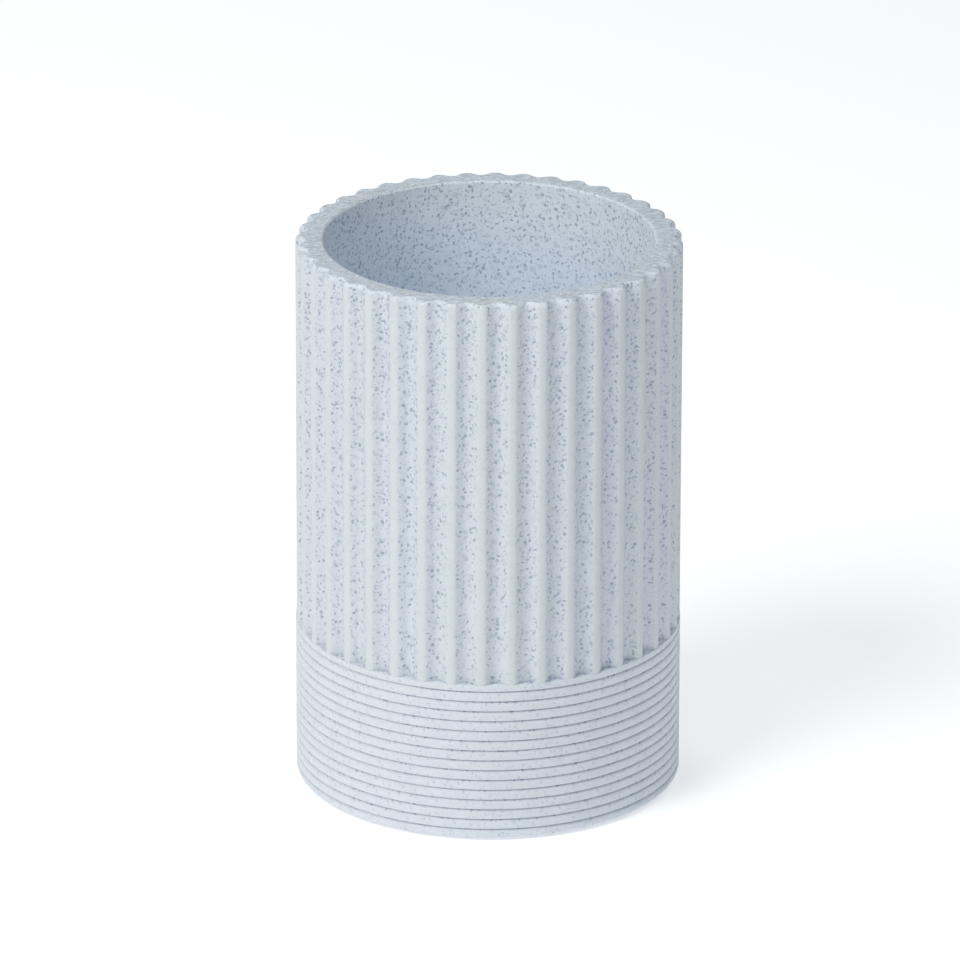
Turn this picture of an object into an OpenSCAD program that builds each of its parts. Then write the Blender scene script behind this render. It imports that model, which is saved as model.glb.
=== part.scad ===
// Bathroom tumbler: one cast resin cup, fluted above and ribbed below, on four soft pads.
// The underside of the pads is z = 0 and the cup's axis is the Z axis.

/* [Cup] */
// Outer diameter over the flute crests and the ribs
cup_d = 75; // [60:0.5:90]
// Height of the cast cup without its pads
cup_h = 110; // [80:0.5:140]
// Thickness of the wall from the flute crests to the inside
wall_t = 5.5; // [4:0.25:12]
// Thickness of the floor
floor_t = 7; // [4:0.5:15]
// Radius where the inner wall meets the floor
floor_fillet_r = 6; // [1:0.5:12]
// Radius of the outer edge of the base
base_edge_r = 1.1; // [0.4:0.1:1.2]
// Radius of the outer edge of the rim on the crests
rim_outer_r = 1; // [0.4:0.1:1.4]
// Radius of the inner edge of the rim
rim_inner_r = 0.4; // [0.2:0.1:1]

/* [Flutes] */
// Number of upright flutes round the wall
flute_count = 40; // [24:1:48]
// Depth of a flute below the crests
flute_depth = 1.3; // [0.6:0.1:2]
// Width of the flat left on each crest
crest_w = 0.9; // [0.5:0.1:1.2]
// Width of a crest with its two eased edges
crest_foot_w = 1.7; // [1.4:0.1:2]
// Depth of the cut that eases the edges of a crest
ease_depth = 0.7; // [0.5:0.05:0.9]

/* [Ribs] */
// Number of ribs round the foot of the cup
rib_count = 15; // [4:1:20]
// Height from one groove to the next
rib_pitch = 2.05; // [2:0.05:2.6]
// Width of the floor of a groove
groove_w = 0.18; // [0.12:0.02:0.3]
// Depth of a groove
groove_depth = 0.42; // [0.3:0.02:0.6]
// Radius of the rounded upper edge of a rib
rib_upper_r = 0.8; // [0.6:0.05:0.9]
// Radius of the crisp lower edge of a rib
rib_lower_r = 0.08; // [0.06:0.02:0.2]
// Height of the plain band between the top groove and the flutes
band_h = 1.25; // [0.8:0.05:4]

/* [Foot pads] */
// Diameter of a pad
pad_d = 10; // [6:0.5:14]
// Thickness of a pad
pad_t = 1.5; // [1.2:0.1:2.4]
// Depth of the seat that a pad is glued into
seat_depth = 1; // [0.6:0.1:1.1]
// Gap between a pad and the wall of its seat
seat_gap = 0.2; // [0.1:0.05:0.5]
// Distance from the cup's side to the nearest point of a pad
pad_inset = 7.5; // [4:0.5:9]
// Radius of a pad's lower edge
pad_edge_r = 0.35; // [0.1:0.05:0.5]

/* [Hidden] */
$fn = 96;
cup_r = cup_d / 2;
bore_r = cup_r - wall_t;
pad_r = pad_d / 2;
seat_r = pad_r + seat_gap;
pad_circle_r = cup_r - pad_inset - pad_r;
// The pads stand proud of the base, which lifts the cup off the surface
base_z = pad_t - seat_depth;
rim_z = base_z + cup_h;
floor_z = base_z + floor_t;
ledge_z = base_z + rib_count * rib_pitch + band_h;
overrun = cup_h / 50;
pad_count = 4;
pad_start_angle = 45;
rib_upper_steps = 5;
rib_lower_steps = 2;
arc_steps = 6;
fillet_steps = 10;

// Points on an arc about c, from angle a to angle b
function arc(c, r, a, b, steps) =
    [for (k = [0:steps]) c + r * [cos(a + (b - a) * k / steps), sin(a + (b - a) * k / steps)]];

// Rounded upper edge of the rib that ends at height z, down into the groove above it
function upper_edge(z) =
    let (turn = acos(1 - groove_depth / rib_upper_r))
    arc([cup_r - rib_upper_r, z - rib_upper_r * sin(turn)], rib_upper_r, 0, turn, rib_upper_steps);

// Crisp lower edge of the rib that starts at height z, out of the groove below it
function lower_edge(z) = concat(
    [[cup_r - groove_depth, z]],
    arc([cup_r - rib_lower_r, z + rib_lower_r], rib_lower_r, -90, 0, rib_lower_steps));

// The groove whose floor is centred at height z, with the rib edges below and above it
function groove(z) = concat(upper_edge(z - groove_w / 2), lower_edge(z + groove_w / 2));

// Radius of the round cutter that is depth deep and leaves a land of width land_w on the circle cup_r
function cutter_r(depth, land_w) =
    let (
        valley_r = cup_r - depth,
        middle_r = cup_r * cos(180 / flute_count - asin(land_w / 2 / cup_r)))
    (pow(cup_r, 2) + pow(valley_r, 2) - 2 * valley_r * middle_r) / 2 / (middle_r - valley_r);

// Outline of the cup from its axis out along the base, up the ribs and back over the rim
cup_outline = concat(
    [[0, base_z]],
    arc([cup_r - base_edge_r, base_z + base_edge_r], base_edge_r, -90, 0, arc_steps),
    [for (i = [1:rib_count]) each groove(base_z + i * rib_pitch)],
    arc([cup_r - rim_outer_r, rim_z - rim_outer_r], rim_outer_r, 0, 90, arc_steps),
    [[0, rim_z]]);

// Outline of the inside, with its filleted floor and its eased mouth
bore_outline = concat(
    [[0, floor_z]],
    arc([bore_r - floor_fillet_r, floor_z + floor_fillet_r], floor_fillet_r, -90, 0, fillet_steps),
    arc([bore_r + rim_inner_r, rim_z - rim_inner_r], rim_inner_r, 180, 90, arc_steps),
    [[bore_r + rim_inner_r, rim_z + overrun], [0, rim_z + overrun]]);

// A ring of upright round cutters, one for each flute
module flute_cutters(depth, land_w) {
    r = cutter_r(depth, land_w);
    for (i = [0:flute_count - 1])
        rotate((i + 1 / 2) * 360 / flute_count)
            translate([cup_r - depth + r, 0, ledge_z])
                cylinder(h = rim_z - ledge_z + overrun, r = r);
}

// Places its child at each pad, or at one of them
module at_pad(first, last) {
    for (i = [first:last])
        rotate(pad_start_angle + (i - 1) * 360 / pad_count)
            translate([pad_circle_r, 0, 0])
                children();
}

// Cast cup with its flutes, ribs, inside and the seats of its pads
module tumbler_body() {
    color("#dde5ee")
    difference() {
        rotate_extrude() polygon(cup_outline);
        flute_cutters(flute_depth, crest_foot_w);
        flute_cutters(ease_depth, crest_w);
        rotate_extrude() polygon(bore_outline);
        at_pad(1, pad_count)
            translate([0, 0, base_z - overrun])
                cylinder(h = seat_depth + overrun, r = seat_r);
    }
}

// Soft round pad, glued face to face into its seat
module foot_pad(i) {
    color("#e9ebea")
    at_pad(i, i)
        rotate_extrude()
            polygon(concat(
                [[0, 0]],
                arc([pad_r - pad_edge_r, pad_edge_r], pad_edge_r, -90, 0, arc_steps),
                [[pad_r, pad_t], [0, pad_t]]));
}

tumbler_body();
foot_pad(1);  // foot_pad_1
foot_pad(2);  // foot_pad_2
foot_pad(3);  // foot_pad_3
foot_pad(4);  // foot_pad_4
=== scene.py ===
"""Bathroom tumbler of speckled cast resin: the cup with its flutes and ribs, and its four soft pads.

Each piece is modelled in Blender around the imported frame, in metres, with the cup's axis on Z and the
pads' undersides at z = 0. A photographer's table with soft light and the camera complete the scene.
"""
import math

import bmesh
import bpy
from bpy.props import FloatProperty, FloatVectorProperty, IntProperty, PointerProperty
from mathutils import Matrix, Vector


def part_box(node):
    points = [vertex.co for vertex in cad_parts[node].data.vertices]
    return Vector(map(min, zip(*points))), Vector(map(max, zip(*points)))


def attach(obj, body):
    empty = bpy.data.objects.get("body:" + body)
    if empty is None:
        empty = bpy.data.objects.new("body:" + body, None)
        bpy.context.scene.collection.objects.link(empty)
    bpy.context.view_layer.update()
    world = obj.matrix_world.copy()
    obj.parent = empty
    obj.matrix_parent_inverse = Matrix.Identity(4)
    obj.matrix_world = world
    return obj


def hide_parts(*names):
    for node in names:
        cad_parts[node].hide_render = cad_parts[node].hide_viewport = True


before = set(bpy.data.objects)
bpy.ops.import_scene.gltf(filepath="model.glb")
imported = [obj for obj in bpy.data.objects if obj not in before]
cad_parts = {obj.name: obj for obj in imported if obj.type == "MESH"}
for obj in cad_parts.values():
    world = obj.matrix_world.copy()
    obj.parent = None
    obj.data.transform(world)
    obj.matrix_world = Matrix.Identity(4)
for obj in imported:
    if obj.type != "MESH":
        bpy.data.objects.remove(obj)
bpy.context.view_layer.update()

bl_info = {
    "name": "Bathroom tumbler",
    "version": (1, 0, 0),
    "blender": (4, 5, 0),
    "location": "3D View > Sidebar > Tumbler",
    "description": "Models a fluted and ribbed resin tumbler on soft pads, with its table, light and camera",
    "category": "Add Mesh",
}

MM = 0.001
BODY = "root"
UP = Vector((0, 0, 1))
# Axis of a turn from X towards Z
X_TO_Z = Vector((0, -1, 0))
QUARTER = math.pi / 2
TURN = 2 * math.pi
# Points closer than this become one
WELD = 0.002 * MM
# Size of the plane that a pen starts from
SEED = 1 * MM
# Width of the strip that is drawn beside each flat face before the face is filled
FLAT_MARGIN = 0.08 * MM
# Edges sharper than this aren't smoothed
SHARP = math.radians(35)
# Number of steps in each turn and arc, and of rows up the fluted wall
LATHE_STEPS = 240
PAD_STEPS = 64
ARC_STEPS = 10
EDGE_STEPS = 4
CREST_STEPS = 6
FLUTE_STEPS = 8
RIM_STEPS = 8
RIB_UPPER_STEPS = 6
RIB_LOWER_STEPS = 2
WALL_ROWS = 8

CUP_LOW, CUP_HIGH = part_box("tumbler_body")
PADS = sorted(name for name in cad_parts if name.startswith("foot_pad"))
PAD_LOW, PAD_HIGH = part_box(PADS[0])
# Azimuth to the right of the cup's front and elevation of each softbox, in degrees, and its tint
SOFTBOXES = {
    "overhead": (0, 88, "cool"),
    "key": (-47, 45, "warm"),
    "fill": (42, 58, "cool"),
    "back": (-155, 40, "cool"),
}
# Radius of the table in metres, and number of its sides
TABLE_RADIUS = 6
TABLE_STEPS = 96

# From here to the sanding marks, lengths are in millimetres and the other numbers are shares.
# Cell, radius and thickness of each kind of flake, softness of its edge, share of the amount, strength
FLAKES = {
    "coarse": (0.9, 0.4, 0.19, 0.35, 1, 1),
    "fine": (0.5, 0.18, 0.11, 0.5, 0.85, 0.6),
    "deep": (1.7, 0.6, 0.3, 0.7, 1, 0.4),
}
# Amount of flakes low on the wall, high on it, and inside, and the depths below the rim of low and high
AMOUNT_LOW = 0.95
AMOUNT_HIGH = 1.45
AMOUNT_INSIDE = 1.4
AMOUNT_DEPTHS = (80.5, 0.5)
# How ragged the flakes' edges are, and how strongly they colour the resin
RAGGED = 0.3
FLAKE_STRENGTH = 0.66
# How strongly soft clouds of the flakes' colour tint the resin
CLOUD_STRENGTH = 0.04
# Half the height over which the ribs' finish passes into the flutes' finish at the ledge
LEDGE_FADE = 0.1
# Depths behind the ribs' surface where the clear skin starts to end and ends, on a rib and in a flute
RIB_SKIN = (0.03, 0.35)
FLUTE_SKIN = (0.13, 0.5)
# Share of a flake that shows through the skin on a rib and on a crest
RIB_SHOWS = 0.33
CREST_SHOWS = 0.15
# Depth over which the crests' tint passes into that of the flutes; the warmer, less blue crests and the
# bluer flute bottoms are partly the clear skin and partly painted light, lit crests against shaded flutes
CREST_FADE = 1
# How far within the wall, from the inside's surface, the inside's finish starts, and where it is full: its
# flake amount, its sanding and its colours, which carry painted light
INSIDE_STARTS = 1.1
INSIDE_FULL = 0.1
# Depths below the rim between which the inside's tint, painted shade deep in the cup, passes into the
# painted light by the mouth
PAINTED_MOUTH_LIGHT_DEPTHS = (24.5, -1.5)
# How far below the rim the sanding is full, and where it ends at the outer edge and at the mouth
SANDED_FULL = 0.02
SANDED_OUTER = 0.06
SANDED_MOUTH = 0.3
# Stretch, scale and wobble of the sanding marks, the part of the noise that they use, and the shades of
# the darkest and the lightest
MARKS_STRETCH = (0.6, 2.6, 1)
MARKS_SCALE = 1.8
MARKS_WOBBLE = 0.8
MARKS_RANGE = (0.36, 0.64)
MARKS_SHADES = (0.6, 1.27)
# Height of the fine unevenness of the surfaces, in metres
UNEVEN = 0.02 * MM


def length(name, description, default, lowest=0):
    """A size in metres that a user may change."""
    return FloatProperty(name=name, description=description, default=default, min=lowest, unit="LENGTH",
                         precision=5)


def tint(name, description, default):
    """A colour that a user may change, as linear light."""
    return FloatVectorProperty(name=name, description=description, default=default, size=3, min=0,
                               max=1, subtype="COLOR")


def share(name, description, default, **options):
    """A plain number that a user may change."""
    return FloatProperty(name=name, description=description, default=default, min=0, **options)


def angle(name, description, degrees):
    """An angle that a user may change, given in degrees and kept in radians."""
    return FloatProperty(name=name, description=description, default=math.radians(degrees), subtype="ANGLE")


class CupSizes(bpy.types.PropertyGroup):
    """Sizes of the cup."""
    radius: length("Radius", "Radius of the cup over its ribs", CUP_HIGH.x)
    base_height: length("Base height", "Height of the cup's underside above the table", CUP_LOW.z)
    rim_height: length("Rim height", "Height of the rim above the table", CUP_HIGH.z)
    wall: length("Wall", "Thickness of the wall from the ribs to the inside", 5.5 * MM)
    floor: length("Floor", "Thickness of the floor", 7 * MM)
    floor_fillet: length("Floor fillet", "Radius where the inner wall meets the floor", 6 * MM)
    base_edge: length("Base edge", "Radius of the outer edge of the base", 1.1 * MM)
    rim_edge: length("Rim edge", "Radius of the outer edge of the rim", 1 * MM)
    mouth_edge: length("Mouth edge", "Radius of the inner edge of the rim", 0.5 * MM)
    flutes: IntProperty(name="Flutes", description="Number of flutes round the wall", default=40, min=8)
    flute_depth: length("Flute depth", "Depth of a flute below the crests", 1.3 * MM)
    crest_width: length("Crest width", "Width of the flat top of a crest", 0.5 * MM)
    crest_edge: length("Crest edge", "Radius of the edges of a crest", 1.2 * MM)
    flute_bottom: length("Flute bottom", "Radius of the bottom of a flute", 1.8 * MM)
    crest_setback: length("Crest setback", "How far the crests stand behind the ribs", 0.1 * MM)
    ribs: IntProperty(name="Ribs", description="Number of turned ribs round the foot", default=15, min=1)
    rib_pitch: length("Rib pitch", "Height from one groove to the next", 2.05 * MM)
    rib_upper_edge: length("Rib upper edge", "Radius of the rounded upper edge of a rib", 0.8 * MM)
    rib_lower_edge: length("Rib lower edge", "Radius of the crisp lower edge of a rib", 0.08 * MM)
    groove_width: length("Groove width", "Width of the floor of a groove", 0.18 * MM)
    groove_depth: length("Groove depth", "Depth of the groove between two ribs", 0.42 * MM)
    band: length("Band", "Height of the plain band between the top groove and the ledge", 1.25 * MM)
    ledge_edge: length("Ledge edge", "Radius of the outer edge of the ledge under the flutes", 0.07 * MM)
    seat_depth: length("Seat depth", "Depth of the seat that a pad is glued into", 1 * MM)
    seat_gap: length("Seat gap", "Gap between a pad and the wall of its seat", 0.2 * MM)


class PadSizes(bpy.types.PropertyGroup):
    """Sizes of the soft pads."""
    radius: length("Radius", "Radius of a pad", (PAD_HIGH.x - PAD_LOW.x) / 2)
    thickness: length("Thickness", "Thickness of a pad", PAD_HIGH.z - PAD_LOW.z)
    edge: length("Edge", "Radius of the lower edge of a pad", 0.35 * MM)
    upper_edge: length("Upper edge", "Radius of the upper edge of a pad", 0.1 * MM)


class ResinLook(bpy.types.PropertyGroup):
    """Colours and finish of the speckled resin, with painted light in the inside's colours and partly in the
    crests' tint.
    """
    # Body and crest are partly the resin's own colours and partly painted light: the warmer crest and the
    # bluer flute bottoms copy lit crests and shaded flutes
    body: tint("Body", "Colour of the cast resin at the bottom of the flutes", (0.69, 0.739, 0.812))
    crest: tint("Crest", "Colour of the cast resin on the crests", (0.702, 0.75, 0.799))
    skin: tint("Skin", "Colour of the clearer skin on the ribs", (0.735, 0.783, 0.85))
    # Inside and mouth are painted light: the same resin as outside, painted lighter and bluer inside and
    # lighter still towards the mouth, where more light falls
    inside: tint("Inside", "Colour of the resin inside the cup", (0.745, 0.815, 0.912))
    mouth: tint("Mouth", "Colour of the resin inside the cup by its mouth", (0.87, 0.93, 0.99))
    fleck: tint("Fleck", "Colour of a fleck at the surface", (0.16, 0.24, 0.37))
    sanded: tint("Sanded", "Colour of the sanded rim", (0.535, 0.58, 0.636))
    roughness: share("Roughness", "Roughness of the moulded surface", 0.55, max=1)
    sanded_roughness: share("Sanded roughness", "Roughness of the sanded rim", 0.75, max=1)


class PadLook(bpy.types.PropertyGroup):
    """Colour and finish of the pads."""
    colour: tint("Colour", "Colour of the soft pads", (0.62, 0.64, 0.62))
    roughness: share("Roughness", "Roughness of the soft pads", 0.6, max=1)


class StudioLook(bpy.types.PropertyGroup):
    """Camera, table and light of the photographer's table."""
    distance: length("Distance", "From the camera to the point it looks at", 2161 * MM)
    lens: share("Lens", "Focal length in millimetres", 417)
    azimuth: angle("Azimuth", "Turn of the camera to the right of the cup's front", 2)
    elevation: angle("Elevation", "Angle that the camera looks down", 21.64)
    roll: angle("Roll", "Turn of the camera about its own line of sight", 0.15)
    aim_side: length("Aim side", "How far right of the axis the point it looks at is", -1.65 * MM, -1)
    aim_height: length("Aim height", "Height of the point it looks at", 60.27 * MM)
    table: tint("Table", "Colour of the table", (0.9, 0.9, 0.9))
    glow: share("Glow", "Strength of the light that comes up through the table", 0.345)
    surround: share("Surround", "Strength of the white light all round", 0.05)
    warm: tint("Warm", "Colour of the softbox at the left", (1, 0.988, 0.925))
    cool: tint("Cool", "Colour of the other softboxes", (0.9, 0.965, 1))
    softbox_distance: length("Softbox distance", "From the softboxes to the middle of the cup", 1200 * MM)
    softbox_size: length("Softbox size", "Diameter of a softbox", 700 * MM)
    overhead: share("Overhead", "Power of the softbox above the cup, in watts", 3.7)
    key: share("Key", "Power of the softbox at the front left, in watts", 8.1)
    fill: share("Fill", "Power of the high softbox at the front right, in watts", 3.3)
    back: share("Back", "Power of the softbox behind the cup, in watts", 2.8)


class Pen:
    """Draws a wire outline in edit mode by extruding and spinning one vertex, once a small plane."""

    def __init__(self, name, start):
        bpy.ops.object.select_all(action="DESELECT")
        bpy.ops.mesh.primitive_plane_add(size=SEED, location=(0, 0, 0), enter_editmode=True)
        self.piece = bpy.context.object
        self.piece.name = self.piece.data.name = name
        bpy.ops.mesh.select_mode(type="VERT")
        bpy.ops.mesh.merge(type="CENTER")
        bpy.ops.transform.translate(value=start)
        self.place = Vector(start)

    def line(self, point):
        """Straight to a point."""
        step = Vector(point) - self.place
        bpy.ops.mesh.extrude_vertices_move(TRANSFORM_OT_translate={"value": step})
        self.place = Vector(point)

    def arc(self, centre, axis, turn, steps):
        """Round a centre by a right-hand turn about an axis. The spin tool counts left-hand turns."""
        bpy.ops.mesh.spin(steps=steps, angle=-turn, center=centre, axis=axis)
        self.place = Matrix.Rotation(turn, 3, axis) @ (self.place - Vector(centre)) + Vector(centre)


class Lathe(Pen):
    """A pen that draws a turned outline in the XZ plane, as radius and height."""

    def to(self, radius, height):
        """Straight to a radius and height."""
        self.line((radius, 0, height))

    def round(self, radius, height, turn, steps):
        """Round a centre by a turn, which is positive from the radius towards the height."""
        self.arc((radius, 0, height), X_TO_Z, turn, steps)

    def turn(self, steps):
        """Spins the outline once about the cup's axis."""
        bpy.ops.mesh.select_all(action="SELECT")
        bpy.ops.mesh.spin(steps=steps, angle=TURN, center=(0, 0, 0), axis=UP)


def select_open(piece, height):
    """Selects the open rings at a height."""
    bpy.ops.mesh.select_all(action="DESELECT")
    mesh = bmesh.from_edit_mesh(piece.data)
    for edge in mesh.edges:
        is_open = edge.is_boundary or edge.is_wire
        if is_open and all(abs(vertex.co.z - height) < WELD for vertex in edge.verts):
            edge.select_set(True)
    bmesh.update_edit_mesh(piece.data)


def close(piece, height):
    """Fills the flat faces between or within the open rings at a height."""
    select_open(piece, height)
    bpy.ops.mesh.fill(use_beauty=True)


def finish_mesh(piece):
    """Welds the piece, turns its faces outwards and smooths all but its sharp edges."""
    bpy.ops.mesh.select_all(action="SELECT")
    bpy.ops.mesh.remove_doubles(threshold=WELD)
    bpy.ops.mesh.normals_make_consistent(inside=False)
    bpy.ops.object.mode_set(mode="OBJECT")
    bpy.ops.object.select_all(action="DESELECT")
    piece.select_set(True)
    bpy.context.view_layer.objects.active = piece
    bpy.ops.object.shade_smooth_by_angle(angle=SHARP)


def ledge_height(cup):
    """Height of the ledge on which the flutes end."""
    return cup.base_height + cup.ribs * cup.rib_pitch + cup.band


def fluted_wall(cup):
    """The outer wall above the ledge: one flute, drawn crest to crest, raised to the rim and spun round."""
    crest = cup.radius - cup.crest_setback
    half = math.pi / cup.flutes
    middle = Vector((math.cos(half), math.sin(half), 0))
    edge_centre = Vector((crest - cup.crest_edge, cup.crest_width / 2, 0))
    bottom_centre = (crest - cup.flute_depth + cup.flute_bottom) * middle
    across = bottom_centre - edge_centre
    slope = math.atan2(across.y, across.x) - math.acos((cup.crest_edge + cup.flute_bottom) / across.length)
    flank = Vector((math.cos(slope), math.sin(slope), 0))
    ledge = ledge_height(cup)
    foot = ledge * UP
    pen = Pen("flutes", (crest, 0, ledge))
    pen.line((crest, cup.crest_width / 2, ledge))
    pen.arc(edge_centre + foot, UP, slope, CREST_STEPS)
    pen.line(bottom_centre - cup.flute_bottom * flank + foot)
    pen.arc(bottom_centre + foot, UP, half - slope, FLUTE_STEPS)
    # The other half of the crest and the flute on its other side
    bpy.ops.mesh.select_all(action="SELECT")
    bpy.ops.mesh.duplicate()
    bpy.ops.transform.resize(value=(1, -1, 1), center_override=(0, 0, 0))
    bpy.ops.mesh.select_all(action="SELECT")
    bpy.ops.mesh.remove_doubles(threshold=WELD)
    # Straight up, and then round the edge of the rim
    rise = cup.rim_height - cup.rim_edge - ledge
    for row in range(WALL_ROWS):
        bpy.ops.mesh.extrude_edges_move(TRANSFORM_OT_translate={"value": rise / WALL_ROWS * UP})
    inset = 0
    height = cup.rim_height - cup.rim_edge
    for step in range(1, RIM_STEPS + 1):
        turn = QUARTER * step / RIM_STEPS
        next_inset = cup.rim_edge * (1 - math.cos(turn))
        next_height = cup.rim_height - cup.rim_edge * (1 - math.sin(turn))
        draw_in(next_height - height, crest - inset, crest - next_inset)
        inset, height = next_inset, next_height
    draw_in(0, crest - inset, crest - inset - FLAT_MARGIN)
    copies = cup.flutes - 1
    bpy.ops.mesh.select_all(action="SELECT")
    bpy.ops.mesh.spin(steps=copies, angle=TURN * copies / cup.flutes, dupli=True, center=(0, 0, 0), axis=UP)
    bpy.ops.object.mode_set(mode="OBJECT")
    return pen.piece


def draw_in(rise, old_radius, new_radius):
    """Extrudes the selected edges upwards and draws them in towards the axis."""
    bpy.ops.mesh.extrude_edges_move(TRANSFORM_OT_translate={"value": rise * UP})
    scale = new_radius / old_radius
    bpy.ops.transform.resize(value=(scale, scale, 1), center_override=(0, 0, 0))


def ribbed_foot(cup):
    """The turned outside from the base over the ribs to the ledge."""
    pen = Lathe("ribs", (cup.radius - cup.base_edge - FLAT_MARGIN, 0, cup.base_height))
    pen.to(cup.radius - cup.base_edge, cup.base_height)
    pen.round(cup.radius - cup.base_edge, cup.base_height + cup.base_edge, QUARTER, ARC_STEPS)
    upper_turn = math.acos(1 - cup.groove_depth / cup.rib_upper_edge)
    for number in range(1, cup.ribs + 1):
        groove = cup.base_height + number * cup.rib_pitch
        floor_low = groove - cup.groove_width / 2
        floor_high = groove + cup.groove_width / 2
        upper_centre = floor_low - cup.rib_upper_edge * math.sin(upper_turn)
        pen.to(cup.radius, upper_centre)
        pen.round(cup.radius - cup.rib_upper_edge, upper_centre, upper_turn, RIB_UPPER_STEPS)
        pen.to(cup.radius - cup.groove_depth, floor_high)
        lower_centre = floor_high + cup.rib_lower_edge
        pen.to(cup.radius - cup.rib_lower_edge, floor_high)
        pen.round(cup.radius - cup.rib_lower_edge, lower_centre, QUARTER, RIB_LOWER_STEPS)
    ledge_centre = ledge_height(cup) - cup.ledge_edge
    pen.to(cup.radius, ledge_centre)
    pen.round(cup.radius - cup.ledge_edge, ledge_centre, QUARTER, EDGE_STEPS)
    pen.turn(LATHE_STEPS)
    bpy.ops.object.mode_set(mode="OBJECT")
    return pen.piece


def inside(cup):
    """The turned inside from its floor up the straight wall and over the mouth's edge."""
    bore = cup.radius - cup.wall
    floor_height = cup.base_height + cup.floor
    pen = Lathe("inside", (bore - cup.floor_fillet - FLAT_MARGIN, 0, floor_height))
    pen.to(bore - cup.floor_fillet, floor_height)
    pen.round(bore - cup.floor_fillet, floor_height + cup.floor_fillet, QUARTER, ARC_STEPS)
    pen.to(bore, cup.rim_height - cup.mouth_edge)
    pen.round(bore + cup.mouth_edge, cup.rim_height - cup.mouth_edge, -QUARTER, EDGE_STEPS)
    pen.to(bore + cup.mouth_edge + FLAT_MARGIN, cup.rim_height)
    pen.turn(LATHE_STEPS)
    bpy.ops.object.mode_set(mode="OBJECT")
    return pen.piece


class TUMBLER_OT_cup(bpy.types.Operator):
    """Model the cast cup: fluted wall, turned ribs, inside and the seats of the pads"""
    bl_idname = "tumbler.cup"
    bl_label = "Cup"

    def execute(self, context):
        cup = context.scene.tumbler_cup
        shells = [fluted_wall(cup), ribbed_foot(cup), inside(cup)]
        bpy.ops.object.select_all(action="DESELECT")
        for shell in shells:
            shell.select_set(True)
        piece = shells[0]
        context.view_layer.objects.active = piece
        bpy.ops.object.join()
        piece.name = piece.data.name = "resin_cup"
        bpy.ops.object.mode_set(mode="EDIT")
        bpy.ops.mesh.select_all(action="SELECT")
        bpy.ops.mesh.remove_doubles(threshold=WELD)
        bpy.ops.mesh.select_mode(type="EDGE")
        for height in (ledge_height(cup), cup.rim_height, cup.base_height + cup.floor):
            close(piece, height)
        self.seats(context, piece)
        finish_mesh(piece)
        piece.data.materials.append(resin_material(context.scene.tumbler_resin, cup))
        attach(piece, BODY)
        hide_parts("tumbler_body")
        return {"FINISHED"}

    def seats(self, context, piece):
        """Closes the underside round the seats of the pads."""
        cup = context.scene.tumbler_cup
        radius = context.scene.tumbler_pads.radius + cup.seat_gap
        for pad in PADS:
            centre = sum(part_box(pad), Vector()).xy / 2
            bpy.ops.mesh.primitive_circle_add(vertices=PAD_STEPS, radius=radius,
                                              location=(*centre, cup.base_height))
        close(piece, cup.base_height)
        select_open(piece, cup.base_height)
        bpy.ops.mesh.extrude_edges_move(TRANSFORM_OT_translate={"value": cup.seat_depth * UP})
        close(piece, cup.base_height + cup.seat_depth)


class TUMBLER_OT_foot_pads(bpy.types.Operator):
    """Model the four soft pads, each in its seat under the cup"""
    bl_idname = "tumbler.foot_pads"
    bl_label = "Foot pads"

    def execute(self, context):
        pads = context.scene.tumbler_pads
        skin = pad_material(context.scene.tumbler_pad_look)
        for number, node in enumerate(PADS, 1):
            centre = sum(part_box(node), Vector()) / 2
            pen = Lathe("soft_pad_%d" % number, (pads.radius - pads.edge - FLAT_MARGIN, 0, 0))
            pen.to(pads.radius - pads.edge, 0)
            pen.round(pads.radius - pads.edge, pads.edge, QUARTER, ARC_STEPS)
            pen.to(pads.radius, pads.thickness - pads.upper_edge)
            pen.round(pads.radius - pads.upper_edge, pads.thickness - pads.upper_edge, QUARTER, EDGE_STEPS)
            pen.to(pads.radius - pads.upper_edge - FLAT_MARGIN, pads.thickness)
            pen.turn(PAD_STEPS)
            bpy.ops.mesh.select_mode(type="EDGE")
            for height in (0, pads.thickness):
                close(pen.piece, height)
            bpy.ops.mesh.select_all(action="SELECT")
            bpy.ops.transform.translate(value=(centre.x, centre.y, 0))
            finish_mesh(pen.piece)
            pen.piece.data.materials.append(skin)
            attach(pen.piece, BODY)
            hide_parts(node)
        return {"FINISHED"}


class Link:
    """A socket of a material, on which Python's operators add Math nodes."""

    def __init__(self, shader, socket):
        self.shader = shader
        self.socket = socket

    def __add__(self, other):
        return self.shader.math("ADD", self, other)

    def __sub__(self, other):
        return self.shader.math("SUBTRACT", self, other)

    def __rsub__(self, other):
        return self.shader.math("SUBTRACT", other, self)

    def __mul__(self, other):
        return self.shader.math("MULTIPLY", self, other)

    def __truediv__(self, other):
        return self.shader.math("DIVIDE", self, other)

    def __rtruediv__(self, other):
        return self.shader.math("DIVIDE", other, self)

    __radd__ = __add__
    __rmul__ = __mul__


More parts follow.
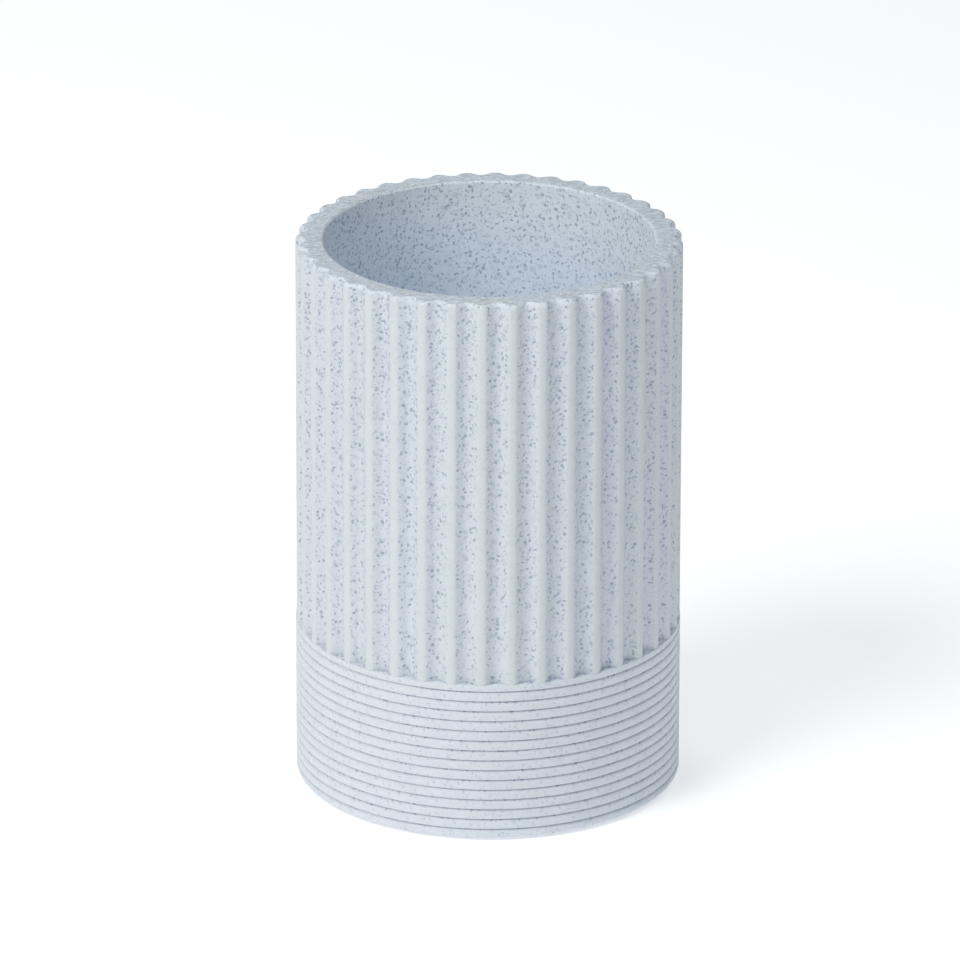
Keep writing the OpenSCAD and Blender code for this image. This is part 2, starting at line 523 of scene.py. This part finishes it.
class Shader:
    """A material whose nodes are made from Python expressions."""

    def __init__(self, name):
        self.material = bpy.data.materials.new(name)
        self.material.use_nodes = True
        self.tree = self.material.node_tree
        self.tree.nodes.clear()

    def node(self, kind, settings, inputs, output=None):
        """Adds a node, sets it up, fills or links its sockets, and gives the output that is asked for."""
        node = self.tree.nodes.new(kind)
        for name, value in settings.items():
            setattr(node, name, value)
        for name, value in inputs.items():
            if isinstance(value, Link):
                self.tree.links.new(value.socket, node.inputs[name])
            else:
                node.inputs[name].default_value = value
        if output is not None:
            return Link(self, node.outputs[output])

    def place(self):
        """Place on the piece, in millimetres."""
        return self.scaled(self.node("ShaderNodeTexCoord", {}, {}, "Object"), 1 / MM)

    def math(self, operation, *values):
        """A Math node on numbers."""
        return self.node("ShaderNodeMath", {"operation": operation}, dict(enumerate(values)), "Value")

    def vector(self, operation, *values, output="Vector"):
        """A Vector Math node."""
        return self.node("ShaderNodeVectorMath", {"operation": operation}, dict(enumerate(values)), output)

    def scaled(self, vector, factor):
        """A vector times a number."""
        inputs = {0: vector, "Scale": factor}
        return self.node("ShaderNodeVectorMath", {"operation": "SCALE"}, inputs, "Vector")

    def mix(self, factor, low, high):
        """A colour between two colours."""
        return self.node("ShaderNodeMix", {"data_type": "RGBA"}, {0: factor, 6: low, 7: high}, 2)

    def blend(self, factor, low, high):
        """A number between two numbers."""
        return low + factor * (high - low)

    def smooth(self, value, low, high):
        """Rises from 0 to 1 as the value goes from low to high."""
        return self.node("ShaderNodeMapRange", {"interpolation_type": "SMOOTHSTEP"},
                         {"Value": value, "From Min": low, "From Max": high}, "Result")

    def noise(self, place, scale, detail=2, roughness=0.5):
        """Soft noise between 0 and 1."""
        inputs = {"Vector": place, "Scale": scale, "Detail": detail, "Roughness": roughness}
        return self.node("ShaderNodeTexNoise", {}, inputs, "Fac")

    def bump(self, strength, height):
        """A normal that is made a little uneven."""
        inputs = {"Strength": strength, "Distance": UNEVEN, "Height": height}
        return self.node("ShaderNodeBump", {}, inputs, "Normal")

    def surface(self, inputs):
        """Ends the material in a Principled shader with these sockets."""
        surface = self.node("ShaderNodeBsdfPrincipled", {}, inputs, "BSDF")
        self.node("ShaderNodeOutputMaterial", {}, {"Surface": surface})
        return self.material


def opaque(colour, shade=1):
    """A colour with its alpha, made darker or lighter by a shade."""
    return (*(shade * channel for channel in colour), 1)


def flakes(shader, place, amount, cell, radius, thickness, softness):
    """Mask of thin round flakes that lie every way in the resin, at most one in each cell of a lattice."""
    cells = {"Vector": place, "Scale": 1 / cell, "Randomness": 1}
    centre = shader.node("ShaderNodeTexVoronoi", {}, cells, "Position")
    offset = shader.vector("SUBTRACT", place, centre)
    draw = shader.node("ShaderNodeTexWhiteNoise", {}, {"Vector": centre}, "Value")
    colour = shader.node("ShaderNodeTexVoronoi", {}, cells, "Color")
    axis = shader.vector("NORMALIZE", shader.vector("SUBTRACT", colour, (0.5, 0.5, 0.5)))
    across = shader.vector("DOT_PRODUCT", offset, axis, output="Value")
    reach = shader.vector("DOT_PRODUCT", offset, offset, output="Value")
    flat = across * across
    depth = flat / thickness ** 2 + (reach - flat) / radius ** 2
    strength = shader.smooth(draw, amount, 0)
    return (1 - shader.smooth(depth, 1 - softness, 1 + softness)) * strength


def all_flakes(shader, place, wobble, amount):
    """Mask of the flakes of every kind, with ragged edges."""
    ragged = shader.scaled(shader.vector("SUBTRACT", wobble, (0.5, 0.5, 0.5)), RAGGED)
    ragged = shader.vector("ADD", place, ragged)
    mask = 0
    for cell, radius, thickness, softness, share_of_amount, strength in FLAKES.values():
        one_kind = flakes(shader, ragged, share_of_amount * amount, cell, radius, thickness, softness)
        mask = shader.math("MAXIMUM", mask, one_kind * strength)
    return mask


def sanding_marks(shader, place, wobble, look):
    """Colour of the sanded rim, with fine marks along one direction."""
    stretched = shader.vector("MULTIPLY", place, MARKS_STRETCH)
    place = shader.vector("ADD", stretched, shader.scaled(wobble, MARKS_WOBBLE))
    grain = shader.smooth(shader.noise(place, MARKS_SCALE, detail=4, roughness=0.7), *MARKS_RANGE)
    dark, light = (opaque(look.sanded, shade) for shade in MARKS_SHADES)
    return shader.mix(grain, dark, light)


def resin_material(look, cup):
    """Cast resin full of blue-grey flakes, which a skin of clearer resin covers on the crests and ribs, with
    painted light: a lighter, bluer inside that is lightest by the mouth, and partly warmer crests over bluer
    flutes.
    """
    shader = Shader("speckled_resin")
    place = shader.place()
    height = shader.node("ShaderNodeSeparateXYZ", {}, {"Vector": place}, "Z")
    below_rim = cup.rim_height / MM - height
    reach = shader.vector("LENGTH", shader.vector("MULTIPLY", place, (1, 1, 0)), output="Value")
    sunk = cup.radius / MM - reach
    ledge = ledge_height(cup) / MM
    fluted = shader.smooth(height, ledge - LEDGE_FADE, ledge + LEDGE_FADE)
    skin_starts, skin_ends = (shader.blend(fluted, rib, flute) for rib, flute in zip(RIB_SKIN, FLUTE_SKIN))
    depth = shader.smooth(sunk, skin_starts, skin_ends)
    bore = cup.wall / MM
    inner = shader.smooth(sunk, bore - INSIDE_STARTS, bore - INSIDE_FULL)
    rim = 1 - shader.smooth(below_rim, SANDED_FULL, shader.blend(inner, SANDED_OUTER, SANDED_MOUTH))

    # Crests into flute bottoms: partly clear skin, partly painted light, warmer on the lit crests and bluer
    # in the shaded flutes
    wall = shader.mix(shader.smooth(sunk, 0, CREST_FADE), opaque(look.crest), opaque(look.body))
    foot = shader.mix(depth, opaque(look.skin), opaque(look.body))
    outside = shader.mix(fluted, foot, wall)
    # Painted light inside the cup: a lighter, bluer inside, with painted shade deep down and a painted band
    # of light by the mouth
    inside_painted_light = shader.mix(shader.smooth(below_rim, *PAINTED_MOUTH_LIGHT_DEPTHS), opaque(look.inside), opaque(look.mouth))
    body = shader.mix(inner, outside, inside_painted_light)
    cloud = shader.smooth(shader.noise(place, 0.25, detail=3), 0.3, 0.7)
    body = shader.mix(cloud * CLOUD_STRENGTH, body, opaque(look.fleck))

    wobble = shader.node("ShaderNodeTexNoise", {}, {"Vector": place, "Scale": 3, "Detail": 1}, "Color")
    outer_amount = shader.blend(shader.smooth(below_rim, *AMOUNT_DEPTHS), AMOUNT_LOW, AMOUNT_HIGH)
    amount = shader.blend(inner, outer_amount, AMOUNT_INSIDE)
    seen = shader.blend(depth, shader.blend(fluted, RIB_SHOWS, CREST_SHOWS), 1)
    mask = all_flakes(shader, place, wobble, amount) * seen
    colour = shader.mix(mask * FLAKE_STRENGTH, body, opaque(look.fleck))
    colour = shader.mix(rim, colour, sanding_marks(shader, place, wobble, look))
    return shader.surface({
        "Base Color": colour,
        "Normal": shader.bump(0.5, shader.noise(place, 3, detail=3)),
        "Roughness": shader.blend(rim, look.roughness, look.sanded_roughness),
    })


def pad_material(look):
    """Soft, slightly cloudy silicone."""
    shader = Shader("soft_pad")
    place = shader.place()
    cloud = shader.noise(place, 0.6, detail=3)
    return shader.surface({
        "Base Color": shader.mix(cloud, opaque(look.colour), opaque(look.colour, 0.9)),
        "Normal": shader.bump(0.4, shader.noise(place, 4)),
        "Roughness": look.roughness + 0.1 * cloud,
    })


def table_material(look):
    """Matt white sheet that is lit a little from below."""
    shader = Shader("table")
    place = shader.node("ShaderNodeTexCoord", {}, {}, "Object")
    mottle = shader.noise(place, 4)
    return shader.surface({
        "Base Color": shader.mix(mottle, opaque(look.table), opaque(look.table, 0.99)),
        "Roughness": 0.9,
        "Emission Color": opaque((1, 1, 1)),
        "Emission Strength": look.glow,
    })


def direction(azimuth, elevation):
    """The way from the cup towards an azimuth, to the right of its front, and an elevation."""
    return Vector((math.sin(azimuth) * math.cos(elevation), -math.cos(azimuth) * math.cos(elevation),
                   math.sin(elevation)))


def softbox(name, look):
    """A round softbox that faces the middle of the cup."""
    aim = Vector((0, 0, CUP_HIGH.z / 2))
    azimuth, elevation, colour = SOFTBOXES[name]
    away = direction(math.radians(azimuth), math.radians(elevation))
    bpy.ops.object.light_add(type="AREA", location=aim + look.softbox_distance * away,
                             rotation=away.to_track_quat("Z", "Y").to_euler())
    light = bpy.context.object
    light.name = light.data.name = name
    light.data.shape = "DISK"
    light.data.size = look.softbox_size
    light.data.energy = getattr(look, name)
    light.data.color = getattr(look, colour)


class TUMBLER_OT_studio(bpy.types.Operator):
    """Set up the table, the light and the camera"""
    bl_idname = "tumbler.studio"
    bl_label = "Studio"

    def execute(self, context):
        look = context.scene.tumbler_studio
        bpy.ops.object.select_all(action="DESELECT")
        bpy.ops.mesh.primitive_circle_add(vertices=TABLE_STEPS, radius=TABLE_RADIUS, fill_type="NGON",
                                          location=(0, 0, 0))
        table = context.object
        table.name = table.data.name = "table"
        table.data.materials.append(table_material(look))
        for name in SOFTBOXES:
            softbox(name, look)
        world = bpy.data.worlds.new("surround")
        world.use_nodes = True
        sockets = world.node_tree.nodes["Background"].inputs
        sockets["Color"].default_value = opaque((1, 1, 1))
        sockets["Strength"].default_value = look.surround
        context.scene.world = world
        context.scene.view_settings.view_transform = "Standard"
        self.camera(context, look)
        return {"FINISHED"}

    def camera(self, context, look):
        """Places the camera at the photograph's viewing angle."""
        turn = Matrix.Rotation(look.azimuth, 3, "Z") @ Matrix.Rotation(QUARTER - look.elevation, 3, "X")
        right = turn @ Vector((1, 0, 0))
        aim = look.aim_side * right + look.aim_height * UP
        turn = turn @ Matrix.Rotation(look.roll, 3, "Z")
        place = aim + look.distance * direction(look.azimuth, look.elevation)
        bpy.ops.object.camera_add(location=place, rotation=turn.to_euler())
        camera = context.object
        camera.name = camera.data.name = "camera"
        camera.data.lens = look.lens
        camera.data.sensor_width = 36
        context.scene.camera = camera


class TUMBLER_PT_panel(bpy.types.Panel):
    """The tumbler's pieces and their settings"""
    bl_idname = "TUMBLER_PT_panel"
    bl_label = "Bathroom tumbler"
    bl_space_type = "VIEW_3D"
    bl_region_type = "UI"
    bl_category = "Tumbler"

    def draw(self, context):
        for title, operator, groups in PARTS:
            box = self.layout.box()
            box.label(text=title)
            for group in groups:
                settings = getattr(context.scene, group)
                for name in settings.__annotations__:
                    box.prop(settings, name)
            box.operator(operator)


SETTINGS = {
    "tumbler_cup": CupSizes,
    "tumbler_pads": PadSizes,
    "tumbler_resin": ResinLook,
    "tumbler_pad_look": PadLook,
    "tumbler_studio": StudioLook,
}
PARTS = (
    ("Cup", "tumbler.cup", ("tumbler_cup", "tumbler_resin")),
    ("Foot pads", "tumbler.foot_pads", ("tumbler_pads", "tumbler_pad_look")),
    ("Studio", "tumbler.studio", ("tumbler_studio",)),
)
CLASSES = (*SETTINGS.values(), TUMBLER_OT_cup, TUMBLER_OT_foot_pads, TUMBLER_OT_studio, TUMBLER_PT_panel)


def register():
    """Registers the classes and adds their settings to the scene."""
    for kind in CLASSES:
        bpy.utils.register_class(kind)
    for name, kind in SETTINGS.items():
        setattr(bpy.types.Scene, name, PointerProperty(type=kind))


def unregister():
    """Takes the settings and the classes out again."""
    for name in SETTINGS:
        delattr(bpy.types.Scene, name)
    for kind in reversed(CLASSES):
        bpy.utils.unregister_class(kind)


def main():
    """Registers the add-on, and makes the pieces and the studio."""
    register()
    bpy.ops.tumbler.cup()
    bpy.ops.tumbler.foot_pads()
    bpy.ops.tumbler.studio()


if __name__ == "__main__":
    main()
